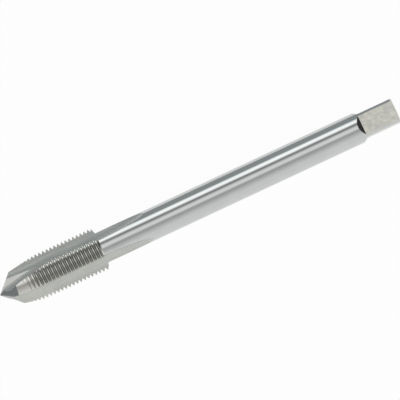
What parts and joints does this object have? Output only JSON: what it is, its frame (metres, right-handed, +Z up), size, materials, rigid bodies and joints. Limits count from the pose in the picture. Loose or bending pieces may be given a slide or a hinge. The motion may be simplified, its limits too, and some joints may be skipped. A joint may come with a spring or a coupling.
{
  "type": "thread tap",
  "caption": "Straight-flute machine tap with a spiral point, right-hand thread, reduced plain shank and square drive end.",
  "frame": {"origin": "centre of the bounding box's base: the surface that the tap lies on, midway along its length", "axes": "+X along the tap from the point to the square end, +Z up, with one land on top; the axis dips 0.5 degrees towards the square, because the thread is thicker than the shank"},
  "size_m": [0.0958, 0.0098, 0.0091],
  "materials": {
    "ground_steel": "ground bright high-speed steel"
  },
  "bodies": {
    "root": {"thread_tap": "ground_steel"}
  },
  "joints": []
}
